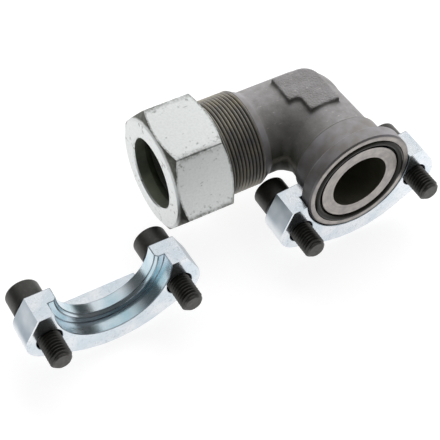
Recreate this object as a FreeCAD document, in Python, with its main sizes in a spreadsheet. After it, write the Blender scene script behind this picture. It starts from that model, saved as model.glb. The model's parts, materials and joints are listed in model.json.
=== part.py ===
import FreeCAD, Part
import math
import os

import Sketcher

# Ninety-degree hydraulic elbow: a split-flange head on one leg, a 24-degree compression
# fitting for 38 mm tube on the other, and the two flange halves with their cap screws.
#
# Frame, in millimetres: the origin is the centre of the flange's sealing face, which looks
# along -Y. The port leg runs back along +Y to the corner, and the tube leg runs from the
# corner along -X. +Z is up. One half is seated under the head, the other lies beside it.

doc = FreeCAD.newDocument("flange_elbow")
dims = doc.addObject("Spreadsheet::Sheet", "Dims")

SIZES = [
    ("port_leg", 55.5, "sealing face to the corner of the elbow"),
    ("tube_leg", 71.0, "corner to the mouth of the tube leg"),
    ("bore", 32.0, "bore through both legs"),
    ("drill_point", 118.0, "full angle at the blind end of each bore"),
    ("bore_overrun", 6.0, "full bore past the crossing axis"),
    ("forged_round", 46.0, "forged round of the tube leg and the corner"),
    ("port_waist", 45.2, "port leg where it leaves the corner"),
    ("port_swell", 47.4, "port leg where the turned neck begins"),
    ("crotch_bend", 28.0, "bend radius of the fillet inside the corner"),
    ("crotch_relief", 0.3, "fillet set inside the forged round"),
    ("pad_height", 25.0, "flat of the forging pads above the axes"),
    ("pad_width", 17.8, "width of each arm of the pads"),
    ("pad_tube_arm", 15.2, "pad arm along the tube leg"),
    ("pad_port_arm", 19.6, "pad arm along the port leg"),
    ("pad_heel", 8.6, "rounding of the pads at the outer corner"),
    ("pad_crook", 2.6, "rounding of the pads at the inner corner"),
    ("pad_edge", 0.9, "rounded rim of the pads"),
    ("neck_start", 21.8, "sealing face to the step of the turned neck"),
    ("neck", 50.4, "neck behind the flange head"),
    ("neck_chamfer", 0.8, "step of the neck"),
    ("head", 60.3, "flange head"),
    ("head_depth", 8.0, "thickness of the flange head"),
    ("head_chamfer", 0.8, "edges of the flange head"),
    ("neck_fillet", 1.2, "fillet between neck and head"),
    ("groove_outer", 53.8, "outer wall of the seal groove"),
    ("groove_width", 4.4, "width of the seal groove"),
    ("groove_depth", 2.8, "depth of the seal groove"),
    ("seal_section", 3.53, "section of the O-ring"),
    ("seal_squeeze", 0.02, "O-ring held clear of the groove's outer wall"),
    ("thread", 52.0, "outside of the tube leg's thread"),
    ("thread_run", 37.8, "corner to the last full thread"),
    ("thread_fade", 32.2, "corner to the end of the thread's run-out"),
    ("thread_chamfer", 1.5, "chamfer at the mouth of the thread"),
    ("tube", 38.0, "tube that the fitting takes"),
    ("tube_play", 0.1, "radial clearance round the tube"),
    ("tube_stop", 16.0, "mouth of the tube leg to the tube's stop"),
    ("cone_wall", 1.5, "24-degree cone past the tube at its mouth"),
    ("cone_angle", 24.0, "full angle of the cone"),
    ("ring_gap", 0.25, "cutting ring clear of the cones"),
    ("ring_reach", 3.0, "cutting ring's nose inside the cone"),
    ("ring_stand", 0.5, "collar of the ring off the mouth"),
    ("ring_collar", 3.8, "collar of the cutting ring past the tube"),
    ("ring_land", 6.5, "length of the collar"),
    ("ring_heel", 1.0, "flat width of the ring's heel"),
    ("nut_flats", 60.0, "nut across its flats"),
    ("nut_length", 32.5, "length of the nut"),
    ("nut_overhang", 19.7, "front face of the nut past the mouth of the tube leg"),
    ("nut_face", 57.2, "round face left by the nut's chamfers"),
    ("nut_chamfer", 30.0, "angle of the nut's chamfers"),
    ("nut_corner", 1.0, "rounding of the nut's corners"),
    ("nut_turned", 7.1, "how far the nut is turned"),
    ("nut_lip", 0.8, "chamfer round the nut's bore"),
    ("nut_cavity", 1.0, "nut clear of the ring's collar"),
    ("nut_relief", 1.5, "nut's thread past the mouth of the tube leg"),
    ("thread_play", 0.05, "radial clearance in the nut's thread"),
    ("nut_lead", 1.2, "chamfer where the nut takes the thread"),
    ("clamp_depth", 16.0, "thickness of the flange halves at the screws"),
    ("belly", 110.0, "round of the halves' outer side"),
    ("belly_drop", 41.5, "port's axis to the lowest point of a half"),
    ("hole_span", 69.9, "screw spacing along a half"),
    ("hole_drop", 17.85, "screws below the parting plane"),
    ("hole", 13.5, "screw holes"),
    ("lug", 24.1, "rounding of the lugs about the screws"),
    ("shoulder", 79.2, "width of the parting faces"),
    ("parting_gap", 1.0, "parting face below the port's axis"),
    ("recess", 61.9, "recess round the flange head"),
    ("recess_depth", 7.8, "depth of the recess"),
    ("clamp_bore", 52.4, "bore of the clamp round the neck"),
    ("clamp_chamfer", 1.5, "chamfer of the bore in the recess"),
    ("rib_depth", 25.0, "thickness of the halves at the rear rib"),
    ("rib_width", 44.0, "width of the rear rib"),
    ("rib_top", 28.6, "flat of the rear rib below the axis"),
    ("rib_edge", 1.2, "rounded edges of the rear rib"),
    ("clamp_edge", 0.8, "rounded rim of the halves"),
    ("seat_play", 0.3, "seated half below the flange head"),
    ("seat_gap", 0.1, "seated half behind the flange head"),
    ("seated_roll", 5.2, "roll of the seated half about the neck"),
    ("loose_left", 139.9, "loose half left of the port"),
    ("loose_front", 0.9, "loose half in front of the port"),
    ("screw", 12.0, "nominal diameter of the cap screws"),
    ("screw_length", 35.0, "cap screw under the head"),
    ("screw_thread", 11.8, "outside of the screw's thread"),
    ("screw_neck", 5.25, "plain shank between head and thread"),
    ("screw_blank", 10.8, "plain shank, as thick as the blank of a rolled thread"),
    ("screw_tip", 1.6, "chamfer at the screw's end"),
    ("screw_head", 18.0, "cap screw head"),
    ("screw_head_depth", 12.0, "height of the head"),
    ("head_edge", 1.0, "rounded back edge of the head"),
    ("key", 10.0, "hexagon socket across its flats"),
    ("key_depth", 6.0, "depth of the hexagon socket"),
    ("washer", 18.1, "spring washer"),
    ("washer_play", 0.1, "washer's bore clear of the screw"),
    ("washer_depth", 2.5, "thickness of the spring washer's wire"),
    ("washer_spring", 2.0, "rise of the relaxed washer over one turn"),
    ("washer_turn", 346.0, "turn of the washer's wire, short of its split"),
]

for row, (alias, value, meaning) in enumerate(SIZES, start=1):
    dims.set("A%d" % row, meaning)
    dims.set("B%d" % row, str(value))
    dims.setAlias("B%d" % row, alias)
doc.recompute()


def size(alias):
    """Present value of one cell, for first guesses of outlines and for picking edges."""
    return float(dims.get(alias))


def new_body(name):
    """Empty body whose name and label are the sub-part's."""
    body = doc.addObject("PartDesign::Body", name)
    body.Label = name
    return body


def origin_plane(body, role):
    """The body's own origin plane of this role."""
    return next(item for item in body.Origin.OriginFeatures if item.Role == role)


def new_sketch(body, role, name, lift=None):
    """Sketch on an origin plane, moved along the plane's normal by the expression lift."""
    sketch = body.newObject("Sketcher::SketchObject", name)
    sketch.AttachmentSupport = [(origin_plane(body, role), "")]
    sketch.MapMode = "FlatFace"
    if lift:
        sketch.setExpression(".AttachmentOffset.Base.z", lift)
    sketch.Visibility = False
    return sketch


def bind(sketch, constraint, expression):
    """Add a dimension to the sketch and drive it by the expression."""
    number = sketch.addConstraint(constraint)
    sketch.setExpression("Constraints[%d]" % number, expression)


def hold(sketch, geometry, point, axis, expression):
    """Tie one coordinate of a point to the sketch's origin; on an axis, to the axis."""
    other_axis = {"DistanceX": -2, "DistanceY": -1}[axis]
    if expression == "0":
        sketch.addConstraint(Sketcher.Constraint("PointOnObject", geometry, point, other_axis))
        return
    guess = sketch.getPoint(geometry, point)
    value = guess.x if axis == "DistanceX" else guess.y
    bind(sketch, Sketcher.Constraint(axis, -1, 1, geometry, point, value), expression)


def outline(sketch, corners):
    """Closed straight-sided outline; each corner is a pair of expressions.

    A side whose two corners share an expression is made level or upright instead.
    """
    count = len(corners)
    turn = 2 * math.pi / count
    spread = size("head")
    ring = [FreeCAD.Vector(spread * math.cos(turn * step), spread * math.sin(turn * step), 0)
            for step in range(count)]
    for step in range(count):
        sketch.addGeometry(Part.LineSegment(ring[step], ring[(step + 1) % count]), False)
    for step in range(count):
        sketch.addConstraint(Sketcher.Constraint("Coincident", step, 2, (step + 1) % count, 1))
    for step, (across, along) in enumerate(corners):
        before = corners[step - 1]
        if step and across == before[0]:
            sketch.addConstraint(Sketcher.Constraint("Vertical", step - 1))
        else:
            hold(sketch, step, 1, "DistanceX", across)
        if step and along == before[1]:
            sketch.addConstraint(Sketcher.Constraint("Horizontal", step - 1))
        else:
            hold(sketch, step, 1, "DistanceY", along)


def circle(sketch, across, along, diameter):
    """Circle held by the expressions of its centre and diameter."""
    centre = FreeCAD.Vector(10, 10, 0)
    number = sketch.addGeometry(Part.Circle(centre, FreeCAD.Vector(0, 0, 1), 5), False)
    hold(sketch, number, 3, "DistanceX", across)
    hold(sketch, number, 3, "DistanceY", along)
    bind(sketch, Sketcher.Constraint("Diameter", number, 10), diameter)


def hexagon(sketch, flats):
    """Regular hexagon about the sketch's origin with a corner on its first axis."""
    reach = 20.0
    corner = [FreeCAD.Vector(reach * math.cos(math.pi * step / 3), reach * math.sin(math.pi * step / 3), 0)
              for step in range(6)]
    for step in range(6):
        sketch.addGeometry(Part.LineSegment(corner[step], corner[(step + 1) % 6]), False)
    round_line = sketch.addGeometry(Part.Circle(FreeCAD.Vector(0, 0, 0), FreeCAD.Vector(0, 0, 1), reach), True)
    sketch.addConstraint(Sketcher.Constraint("Coincident", round_line, 3, -1, 1))
    for step in range(6):
        sketch.addConstraint(Sketcher.Constraint("Coincident", step, 2, (step + 1) % 6, 1))
        sketch.addConstraint(Sketcher.Constraint("PointOnObject", step, 1, round_line))
    for step in range(1, 6):
        sketch.addConstraint(Sketcher.Constraint("Equal", 0, step))
    sketch.addConstraint(Sketcher.Constraint("PointOnObject", 0, 1, -1))
    bind(sketch, Sketcher.Constraint("Diameter", round_line, 2 * reach), "%s / cos(30)" % flats)


# Lengths that more than one sub-part takes, worked out from the cells.
TUBE_SEAT = "Dims.tube / 2 + Dims.tube_play"
CONE_MOUTH = "Dims.tube / 2 + Dims.cone_wall"
RING_COLLAR = "Dims.tube / 2 + Dims.ring_collar"
NUT_REACH = "Dims.tube_leg + Dims.nut_overhang"


def revolve(body, sketch, axis, name):
    """Full turn of the sketch about one of its axes."""
    feature = body.newObject("PartDesign::Revolution", name)
    feature.Profile = sketch
    feature.ReferenceAxis = (sketch, [axis])
    feature.Angle = 360
    return feature


def turn_out(body, sketch, axis, name):
    """Material turned away by a full turn of the sketch about one of its axes."""
    feature = body.newObject("PartDesign::Groove", name)
    feature.Profile = sketch
    feature.ReferenceAxis = (sketch, [axis])
    feature.Angle = 360
    return feature


def pad(body, sketch, length, name, reversed_way=False, both_ways=False):
    """Sketch raised by the expression length."""
    feature = body.newObject("PartDesign::Pad", name)
    feature.Profile = sketch
    feature.setExpression("Length", length)
    feature.Reversed = reversed_way
    feature.Midplane = both_ways
    return feature


def pocket(body, sketch, length, name, reversed_way=False):
    """Sketch sunk by the expression length."""
    feature = body.newObject("PartDesign::Pocket", name)
    feature.Profile = sketch
    feature.setExpression("Length", length)
    feature.Reversed = reversed_way
    return feature


def dress(body, kind, name, amount, wanted):
    """Fillet or chamfer the edges of the body's tip that the test picks."""
    doc.recompute()
    base = body.Tip
    edges = ["Edge%d" % number for number, edge in enumerate(base.Shape.Edges, start=1) if wanted(edge)]
    if not edges:
        raise RuntimeError("%s finds no edge" % name)
    feature = body.newObject("PartDesign::%s" % kind, name)
    feature.Base = (base, edges)
    feature.setExpression("Radius" if kind == "Fillet" else "Size", amount)
    return feature


def near(value, target, slack=0.02):
    """Whether a measured value is the target, within the modeller's tolerance."""
    return abs(value - target) < slack


def place(body, x, y, z, axis=None, angle=None):
    """Placement of a body by expressions, turned about an axis through its own origin."""
    if axis:
        body.Placement = FreeCAD.Placement(FreeCAD.Vector(0, 0, 0), FreeCAD.Rotation(axis, 1.0))
        body.setExpression(".Placement.Rotation.Angle", angle)
    body.setExpression(".Placement.Base.x", x)
    body.setExpression(".Placement.Base.y", y)
    body.setExpression(".Placement.Base.z", z)


def make_elbow():
    """Forged elbow, drawn about its own corner: tube leg along -X, port leg along -Y."""
    body = new_body("elbow_body")

    # Tube leg: forged round, thread run-out, threaded end.
    leg = new_sketch(body, "XY_Plane", "tube_leg_profile")
    outline(leg, [
        ("0", "0"),
        ("0", "Dims.forged_round / 2"),
        ("-Dims.thread_fade", "Dims.forged_round / 2"),
        ("-Dims.thread_run", "Dims.thread / 2"),
        ("-Dims.tube_leg + Dims.thread_chamfer", "Dims.thread / 2"),
        ("-Dims.tube_leg", "Dims.thread / 2 - Dims.thread_chamfer"),
        ("-Dims.tube_leg", "0"),
    ])
    revolve(body, leg, "H_Axis", "tube_leg_round")

    # Rounded outer corner.
    knee = body.newObject("PartDesign::AdditiveSphere", "knee")
    knee.setExpression("Radius", "Dims.forged_round / 2")

    # Port leg: swelling forged round, turned neck, flange head.
    port = new_sketch(body, "XY_Plane", "port_leg_profile")
    rear = "-Dims.port_leg + Dims.head_depth"
    outline(port, [
        ("0", "0"),
        ("Dims.port_waist / 2", "0"),
        ("Dims.port_swell / 2", "-Dims.port_leg + Dims.neck_start"),
        ("Dims.neck / 2 - Dims.neck_chamfer", "-Dims.port_leg + Dims.neck_start"),
        ("Dims.neck / 2", "-Dims.port_leg + Dims.neck_start - Dims.neck_chamfer"),
        ("Dims.neck / 2", rear + " + Dims.neck_fillet"),
        ("Dims.neck / 2 + Dims.neck_fillet", rear),
        ("Dims.head / 2 - Dims.head_chamfer", rear),
        ("Dims.head / 2", rear + " - Dims.head_chamfer"),
        ("Dims.head / 2", "-Dims.port_leg + Dims.head_chamfer"),
        ("Dims.head / 2 - Dims.head_chamfer", "-Dims.port_leg"),
        ("0", "-Dims.port_leg"),
    ])
    revolve(body, port, "V_Axis", "port_leg_round")

    # Fillet inside the corner: a quarter bend, a little smaller than the legs.
    bend = new_sketch(body, "YZ_Plane", "crotch_profile", "-Dims.crotch_bend")
    circle(bend, "0", "0", "Dims.forged_round - 2 * Dims.crotch_relief")
    centre = size("crotch_bend")
    axis_line = bend.addGeometry(
        Part.LineSegment(FreeCAD.Vector(-centre, -centre, 0), FreeCAD.Vector(-centre, centre, 0)), True)
    bend.addConstraint(Sketcher.Constraint("Vertical", axis_line))
    hold(bend, axis_line, 1, "DistanceX", "-Dims.crotch_bend")
    crotch = body.newObject("PartDesign::Revolution", "crotch")
    crotch.Profile = bend
    crotch.ReferenceAxis = (bend, ["Axis0"])
    crotch.Angle = 90
    crotch.Reversed = True

    # Forging pads above and below: one L-shaped bar through the corner.
    pads = new_sketch(body, "XY_Plane", "pad_outline")
    edge = "Dims.pad_width / 2"
    outline(pads, [
        ("-Dims.pad_tube_arm", edge),
        ("-Dims.pad_tube_arm", "-" + edge),
        ("-" + edge, "-" + edge),
        ("-" + edge, "-Dims.pad_port_arm"),
        (edge, "-Dims.pad_port_arm"),
        (edge, edge),
    ])
    pad(body, pads, "2 * Dims.pad_height", "pads", both_ways=True)
    half_width = size("pad_width") / 2

    def upright_at(edge_found, x, y):
        line = edge_found.CenterOfMass
        flat = edge_found.BoundBox.XLength + edge_found.BoundBox.YLength
        return near(flat, 0) and near(line.x, x) and near(line.y, y)

    dress(body, "Fillet", "pad_heels", "Dims.pad_heel",
          lambda found: upright_at(found, half_width, half_width))
    dress(body, "Fillet", "pad_crooks", "Dims.pad_crook",
          lambda found: upright_at(found, -half_width, -half_width))
    top = size("pad_height")
    dress(body, "Fillet", "pad_rims", "Dims.pad_edge",
          lambda found: near(found.BoundBox.ZLength, 0) and near(abs(found.CenterOfMass.z), top))

    # Port bore with its drill point.
    tip = "Dims.bore_overrun + Dims.bore / 2 / tan(Dims.drill_point / 2)"
    port_bore = new_sketch(body, "XY_Plane", "port_bore_profile")
    outline(port_bore, [
        ("0", "-Dims.port_leg - 1"),
        ("Dims.bore / 2", "-Dims.port_leg - 1"),
        ("Dims.bore / 2", "Dims.bore_overrun"),
        ("0", tip),
    ])
    turn_out(body, port_bore, "V_Axis", "port_bore")

    # Tube bore: drill point, bore, stop, tube socket and 24-degree cone.
    cone_end = "-Dims.tube_leg + (Dims.cone_wall - Dims.tube_play) / tan(Dims.cone_angle / 2)"
    mouth = "%s + tan(Dims.cone_angle / 2)" % CONE_MOUTH
    tube_bore = new_sketch(body, "XY_Plane", "tube_bore_profile")
    outline(tube_bore, [
        (tip, "0"),
        ("Dims.bore_overrun", "Dims.bore / 2"),
        ("-Dims.tube_leg + Dims.tube_stop", "Dims.bore / 2"),
        ("-Dims.tube_leg + Dims.tube_stop", TUBE_SEAT),
        (cone_end, TUBE_SEAT),
        ("-Dims.tube_leg - 1", mouth),
        ("-Dims.tube_leg - 1", "0"),
    ])
    turn_out(body, tube_bore, "H_Axis", "tube_bore")

    # Groove for the face seal.
    inner_wall = "Dims.groove_outer / 2 - Dims.groove_width"
    groove = new_sketch(body, "XY_Plane", "seal_groove_profile")
    outline(groove, [
        (inner_wall, "-Dims.port_leg - 1"),
        ("Dims.groove_outer / 2", "-Dims.port_leg - 1"),
        ("Dims.groove_outer / 2", "-Dims.port_leg + Dims.groove_depth"),
        (inner_wall, "-Dims.port_leg + Dims.groove_depth"),
    ])
    turn_out(body, groove, "V_Axis", "seal_groove")

    place(body, "0", "Dims.port_leg", "0")
    return body


def make_seal():
    """O-ring lying on the floor of the groove, against its outer wall."""
    body = new_body("face_o_ring")
    section = new_sketch(body, "XY_Plane", "seal_section_profile")
    reach = "Dims.groove_outer / 2 - Dims.seal_squeeze - Dims.seal_section / 2"
    circle(section, reach, "Dims.groove_depth - Dims.seal_section / 2", "Dims.seal_section")
    revolve(body, section, "V_Axis", "seal_round")
    place(body, "0", "0", "0")
    return body


def make_cutting_ring():
    """Cutting ring, drawn from the mouth of the tube leg: nose along +X, heel along -X."""
    body = new_body("cutting_ring")
    profile = new_sketch(body, "XY_Plane", "ring_profile")
    nose = "%s - Dims.ring_gap" % CONE_MOUTH
    back = "-Dims.ring_stand - Dims.ring_land"
    heel = "%s - Dims.ring_collar + Dims.tube_play + Dims.ring_heel" % back
    outline(profile, [
        ("Dims.ring_reach", TUBE_SEAT),
        ("Dims.ring_reach", "%s - Dims.ring_reach * tan(Dims.cone_angle / 2)" % nose),
        ("-Dims.ring_stand", nose),
        ("-Dims.ring_stand", RING_COLLAR),
        (back, RING_COLLAR),
        (heel, "%s + Dims.ring_heel" % TUBE_SEAT),
        (heel, TUBE_SEAT),
    ])
    revolve(body, profile, "H_Axis", "ring_round")
    place(body, "-Dims.tube_leg", "Dims.port_leg", "0")
    return body


def make_nut():
    """Union nut, drawn from its front face: it reaches back along +X."""
    body = new_body("union_nut")
    sides = new_sketch(body, "YZ_Plane", "nut_hexagon")
    hexagon(sides, "Dims.nut_flats")
    pad(body, sides, "Dims.nut_length", "nut_sides")
    dress(body, "Fillet", "nut_corners", "Dims.nut_corner",
          lambda found: near(found.BoundBox.XLength, size("nut_length")))

    # Thirty-degree chamfers of both ends.
    reach = "Dims.nut_flats"
    rise = "(Dims.nut_flats - Dims.nut_face / 2) * tan(Dims.nut_chamfer)"
    for name, face, way in (("front", "0", "+"), ("rear", "Dims.nut_length", "-")):
        cone = new_sketch(body, "XY_Plane", "nut_%s_chamfer_profile" % name)
        outline(cone, [
            (face, "Dims.nut_face / 2"),
            ("%s %s %s" % (face, way, rise), reach),
            ("%s %s (-1)" % (face, way), reach),
            ("%s %s (-1)" % (face, way), "Dims.nut_face / 2"),
        ])
        turn_out(body, cone, "H_Axis", "nut_%s_chamfer" % name)

    # Inside: lipped bore for the tube, 45-degree seat for the ring, cavity and thread.
    ring_back = "Dims.nut_overhang - Dims.ring_stand - Dims.ring_land"
    cavity = "%s + Dims.nut_cavity" % RING_COLLAR
    seat_top = "%s - Dims.nut_cavity - 1.5 * Dims.ring_gap" % ring_back
    seat_foot = "%s - Dims.ring_collar - Dims.nut_cavity + Dims.tube_play" % seat_top
    inside = new_sketch(body, "XY_Plane", "nut_inside_profile")
    outline(inside, [
        ("-1", "0"),
        ("-1", "%s + Dims.nut_lip + 1" % TUBE_SEAT),
        ("Dims.nut_lip", TUBE_SEAT),
        (seat_foot, TUBE_SEAT),
        (seat_top, cavity),
        ("Dims.nut_overhang - Dims.nut_relief", cavity),
        ("Dims.nut_overhang - Dims.nut_relief", "Dims.thread / 2 + Dims.thread_play"),
        ("Dims.nut_length - Dims.nut_lead", "Dims.thread / 2 + Dims.thread_play"),
        ("Dims.nut_length + 1", "Dims.thread / 2 + Dims.thread_play + Dims.nut_lead + 1"),
        ("Dims.nut_length + 1", "0"),
    ])
    turn_out(body, inside, "H_Axis", "nut_inside")
    place(body, "-(%s)" % NUT_REACH, "Dims.port_leg", "0", FreeCAD.Vector(1, 0, 0), "Dims.nut_turned")
    return body


def half_outline(sketch):
    """Front outline of a half: parting face, slanted shoulders, lugs, outer round.

    The sketch's own axes are X and Z. Its right side is worked out, the left is its mirror.
    """
    centre = FreeCAD.Vector(size("hole_span") / 2, -size("hole_drop"), 0)
    corner = FreeCAD.Vector(size("shoulder") / 2, -size("parting_gap"), 0)
    lug = size("lug") / 2
    belly = size("belly") / 2
    navel = FreeCAD.Vector(0, belly - size("belly_drop"), 0)
    away = corner - centre
    lean = math.atan2(away.y, away.x) - math.acos(lug / away.Length)
    back = navel - centre
    sweep = math.atan2(back.y, back.x) + math.acos((lug - belly) / back.Length)

    def out(angle, radius):
        return FreeCAD.Vector(radius * math.cos(angle), radius * math.sin(angle), 0)

    def mirrored(point):
        return FreeCAD.Vector(-point.x, point.y, 0)

    high = centre + out(lean, lug)
    low = centre + out(sweep, lug)
    foot = navel + out(sweep, belly)
    sweep = (sweep + math.pi) % (2 * math.pi) - math.pi
    far_side = math.pi - sweep
    up = FreeCAD.Vector(0, 0, 1)
    pieces = [
        Part.LineSegment(mirrored(corner), corner),
        Part.LineSegment(corner, high),
        Part.ArcOfCircle(Part.Circle(centre, up, lug), sweep, lean),
        Part.LineSegment(low, foot),
        Part.ArcOfCircle(Part.Circle(navel, up, belly), -math.pi - sweep, sweep),
        Part.LineSegment(mirrored(foot), mirrored(low)),
        Part.ArcOfCircle(Part.Circle(mirrored(centre), up, lug), math.pi - lean, far_side),
        Part.LineSegment(mirrored(high), mirrored(corner)),
    ]
    sketch.addGeometry(pieces, False)
    ties = [
        ("Coincident", 0, 2, 1, 1),
        ("Tangent", 1, 2, 2, 2),
        ("Tangent", 2, 1, 3, 1),
        ("Tangent", 3, 2, 4, 2),
        ("Tangent", 4, 1, 5, 1),
        ("Tangent", 5, 2, 6, 2),
        ("Tangent", 6, 1, 7, 1),
        ("Coincident", 7, 2, 0, 1),
        ("PointOnObject", 4, 3, -2),
        ("Equal", 2, 6),
        ("Symmetric", 0, 1, 0, 2, -2),
        ("Symmetric", 2, 3, 6, 3, -2),
    ]
    for kind, *ends in ties:
        sketch.addConstraint(Sketcher.Constraint(kind, *ends))
    hold(sketch, 1, 1, "DistanceX", "Dims.shoulder / 2")
    hold(sketch, 1, 1, "DistanceY", "-Dims.parting_gap")
    hold(sketch, 2, 3, "DistanceX", "Dims.hole_span / 2")
    hold(sketch, 2, 3, "DistanceY", "-Dims.hole_drop")
    bind(sketch, Sketcher.Constraint("Radius", 2, lug), "Dims.lug / 2")
    hold(sketch, 4, 3, "DistanceY", "Dims.belly / 2 - Dims.belly_drop")
    bind(sketch, Sketcher.Constraint("Radius", 4, belly), "Dims.belly / 2")


def make_half(name):
    """Flange half, drawn about the port's axis with its front face on the sealing plane."""
    body = new_body(name)

    # Forged plate with its lugs.
    front = new_sketch(body, "XZ_Plane", name + "_outline")
    half_outline(front)
    pad(body, front, "Dims.clamp_depth", name + "_plate", reversed_way=True)

    # Rib behind the plate, flat above and round below.
    rib = new_sketch(body, "XZ_Plane", name + "_rib_outline")
    half_rib = size("rib_width") / 2
    belly = size("belly") / 2
    navel = belly - size("belly_drop")
    drop = math.sqrt(belly ** 2 - half_rib ** 2)
    reach = math.atan2(-drop, half_rib)
    foot = navel - drop
    corner = [FreeCAD.Vector(x, y, 0) for x, y in (
        (-half_rib, foot), (-half_rib, -size("rib_top")), (half_rib, -size("rib_top")), (half_rib, foot))]
    for step in range(3):
        rib.addGeometry(Part.LineSegment(corner[step], corner[step + 1]), False)
    sole = Part.Circle(FreeCAD.Vector(0, navel, 0), FreeCAD.Vector(0, 0, 1), belly)
    rib.addGeometry(Part.ArcOfCircle(sole, -math.pi - reach, reach), False)
    for ends in ((0, 2, 1, 1), (1, 2, 2, 1), (2, 2, 3, 2), (3, 1, 0, 1)):
        rib.addConstraint(Sketcher.Constraint("Coincident", *ends))
    rib.addConstraint(Sketcher.Constraint("PointOnObject", 3, 3, -2))
    rib.addConstraint(Sketcher.Constraint("Vertical", 0))
    rib.addConstraint(Sketcher.Constraint("Vertical", 2))
    rib.addConstraint(Sketcher.Constraint("Symmetric", 1, 1, 1, 2, -2))
    hold(rib, 1, 2, "DistanceX", "Dims.rib_width / 2")
    hold(rib, 1, 2, "DistanceY", "-Dims.rib_top")
    hold(rib, 3, 3, "DistanceY", "Dims.belly / 2 - Dims.belly_drop")
    bind(rib, Sketcher.Constraint("Radius", 3, belly), "Dims.belly / 2")
    pad(body, rib, "Dims.rib_depth", name + "_rib", reversed_way=True)
    dress(body, "Fillet", name + "_rib_edges", "Dims.rib_edge",
          lambda found: near(found.BoundBox.YMin, size("rib_depth")))
    dress(body, "Fillet", name + "_rim", "Dims.clamp_edge",
          lambda found: near(found.BoundBox.YMax, 0) and found.BoundBox.ZMin < -2 * size("parting_gap"))

    # Recess for the flange head, bore for its neck, screw holes.
    recess = new_sketch(body, "XZ_Plane", name + "_recess_outline")
    circle(recess, "0", "0", "Dims.recess")
    pocket(body, recess, "Dims.recess_depth", name + "_recess")
    bore = new_sketch(body, "XZ_Plane", name + "_bore_outline")
    circle(bore, "0", "0", "Dims.clamp_bore")
    pocket(body, bore, "Dims.rib_depth + 1", name + "_bore")
    dress(body, "Chamfer", name + "_bore_edge", "Dims.clamp_chamfer",
          lambda found: near(found.BoundBox.YMax, size("recess_depth"))
          and near(found.BoundBox.YMin, size("recess_depth"))
          and near(found.BoundBox.ZMin, -size("clamp_bore") / 2))
    for side, sign in (("left", "-"), ("right", "")):
        screw_hole = new_sketch(body, "XZ_Plane", "%s_%s_hole_outline" % (name, side))
        circle(screw_hole, sign + "Dims.hole_span / 2", "-Dims.hole_drop", "Dims.hole")
        pocket(body, screw_hole, "Dims.clamp_depth + 1", "%s_%s_hole" % (name, side))
    return body


def make_screw(name):
    """Socket-head cap screw about the Y axis: head bearing on y = 0, shank along -Y."""
    body = new_body(name)
    profile = new_sketch(body, "XY_Plane", name + "_profile")
    outline(profile, [
        ("0", "-Dims.screw_length"),
        ("Dims.screw_thread / 2 - Dims.screw_tip", "-Dims.screw_length"),
        ("Dims.screw_thread / 2", "-Dims.screw_length + Dims.screw_tip"),
        ("Dims.screw_thread / 2", "-Dims.screw_neck"),
        ("Dims.screw_blank / 2", "-Dims.screw_neck"),
        ("Dims.screw_blank / 2", "0"),
        ("Dims.screw_head / 2", "0"),
        ("Dims.screw_head / 2", "Dims.screw_head_depth"),
        ("0", "Dims.screw_head_depth"),
    ])
    revolve(body, profile, "V_Axis", name + "_round")
    dress(body, "Fillet", name + "_head_edge", "Dims.head_edge",
          lambda found: near(found.BoundBox.YMin, size("screw_head_depth")))
    socket = new_sketch(body, "XZ_Plane", name + "_socket_outline", "-Dims.screw_head_depth")
    hexagon(socket, "Dims.key")
    pocket(body, socket, "Dims.key_depth", name + "_socket", reversed_way=True)
    return body


def make_washer(name):
    """Relaxed spring washer about the Y axis: one turn of wire that climbs from y = 0."""
    body = new_body(name)
    wire = new_sketch(body, "XY_Plane", name + "_wire")
    inner = "Dims.screw / 2 + Dims.washer_play"
    outline(wire, [
        (inner, "0"),
        ("Dims.washer / 2", "0"),
        ("Dims.washer / 2", "Dims.washer_depth"),
        (inner, "Dims.washer_depth"),
    ])
    coil = body.newObject("PartDesign::AdditiveHelix", name + "_coil")
    coil.Profile = wire
    coil.ReferenceAxis = (wire, ["V_Axis"])
    coil.Mode = "pitch-turns-angle"
    coil.setExpression("Pitch", "Dims.washer_spring")
    coil.setExpression("Turns", "Dims.washer_turn / 360")
    return body


def fasten(prefix, x, y, z, roll):
    """Spring washer and cap screw in each lug of the half that stands at x, y, z."""
    bodies = []
    stack = "Dims.washer_depth + Dims.washer_spring * Dims.washer_turn / 360"
    for side, sign in (("left", "-1"), ("right", "1")):
        reach = "%s * Dims.hole_span / 2" % sign
        across = "%s + %s * cos(%s) + Dims.hole_drop * sin(%s)" % (x, reach, roll, roll)
        height = "%s + %s * sin(%s) - Dims.hole_drop * cos(%s)" % (z, reach, roll, roll)
        rear = "%s + Dims.clamp_depth" % y
        washer = make_washer("%s_washer_%s" % (prefix, side))
        place(washer, across, rear, height, FreeCAD.Vector(0, -1, 0), roll)
        screw = make_screw("%s_screw_%s" % (prefix, side))
        place(screw, across, "%s + %s" % (rear, stack), height, FreeCAD.Vector(0, -1, 0), roll)
        bodies += [washer, screw]
    return bodies


def make_all():
    """Every sub-part, in the order of assembly."""
    bodies = [make_elbow(), make_seal(), make_cutting_ring(), make_nut()]

    # The seated half carries the flange head in its recess.
    behind = "Dims.head_depth - Dims.recess_depth + Dims.seat_gap"
    lift = "(Dims.recess - Dims.head) / 2 - Dims.seat_play"
    seated = make_half("seated_flange_half")
    place(seated, "0", behind, lift, FreeCAD.Vector(0, -1, 0), "Dims.seated_roll")
    bodies += [seated] + fasten("seated", "0", behind, lift, "Dims.seated_roll")

    # The loose half stands level beside it.
    loose = make_half("loose_flange_half")
    place(loose, "-Dims.loose_left", "-Dims.loose_front", "0")
    bodies += [loose] + fasten("loose", "-Dims.loose_left", "-Dims.loose_front", "0", "0")
    return bodies


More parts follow.
